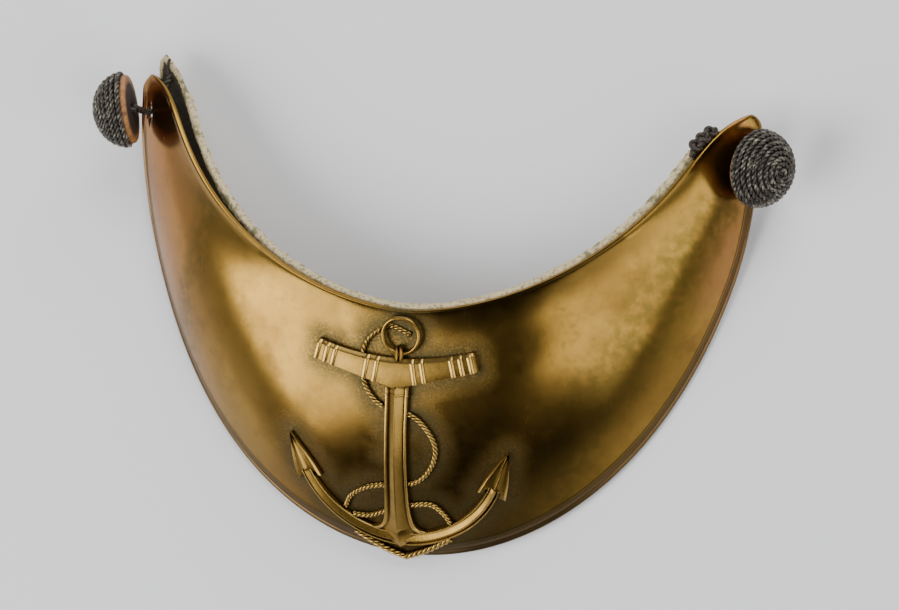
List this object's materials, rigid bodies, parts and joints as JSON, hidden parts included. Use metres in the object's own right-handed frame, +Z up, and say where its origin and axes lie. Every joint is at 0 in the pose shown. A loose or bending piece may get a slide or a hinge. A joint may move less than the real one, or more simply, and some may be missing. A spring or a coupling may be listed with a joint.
{
  "type": "naval dress gorget",
  "caption": "Crescent gorget of gilt brass sheet, raised and bent round the neck, with a cast foul anchor, a leather lining and wound cord buttons at the horns.",
  "frame": {"origin": "middle of the gorget's box, on the surface that it lies on", "axes": "+Z up with the gorget on its back, +X towards the horn at the right of the anchor, +Y from the lower edge towards the horns"},
  "size_m": [0.1572, 0.1062, 0.0268],
  "materials": {
    "brass_sheet": "polished sheet, worn, with fine scratches and brown tarnish",
    "gilt_casting": "gilt casting, bright on its ridges and dull in its hollows",
    "lining_leather": "pale dry leather with a crusty edge and green stains",
    "mould_wood": "turned, orange-brown, worn",
    "bullion_cord": "spun cord of tarnished metal thread, with silvery glints",
    "dark_cord": "two-ply twisted cord, dark, with a few metal threads"
  },
  "bodies": {
    "root": {"front_plate": "brass_sheet", "anchor": "gilt_casting", "lining": "lining_leather", "button_mould_left": "mould_wood", "button_winding_left": "bullion_cord", "button_cord_left": "dark_cord", "button_mould_right": "mould_wood", "button_winding_right": "bullion_cord", "button_cord_right": "dark_cord"}
  },
  "joints": []
}
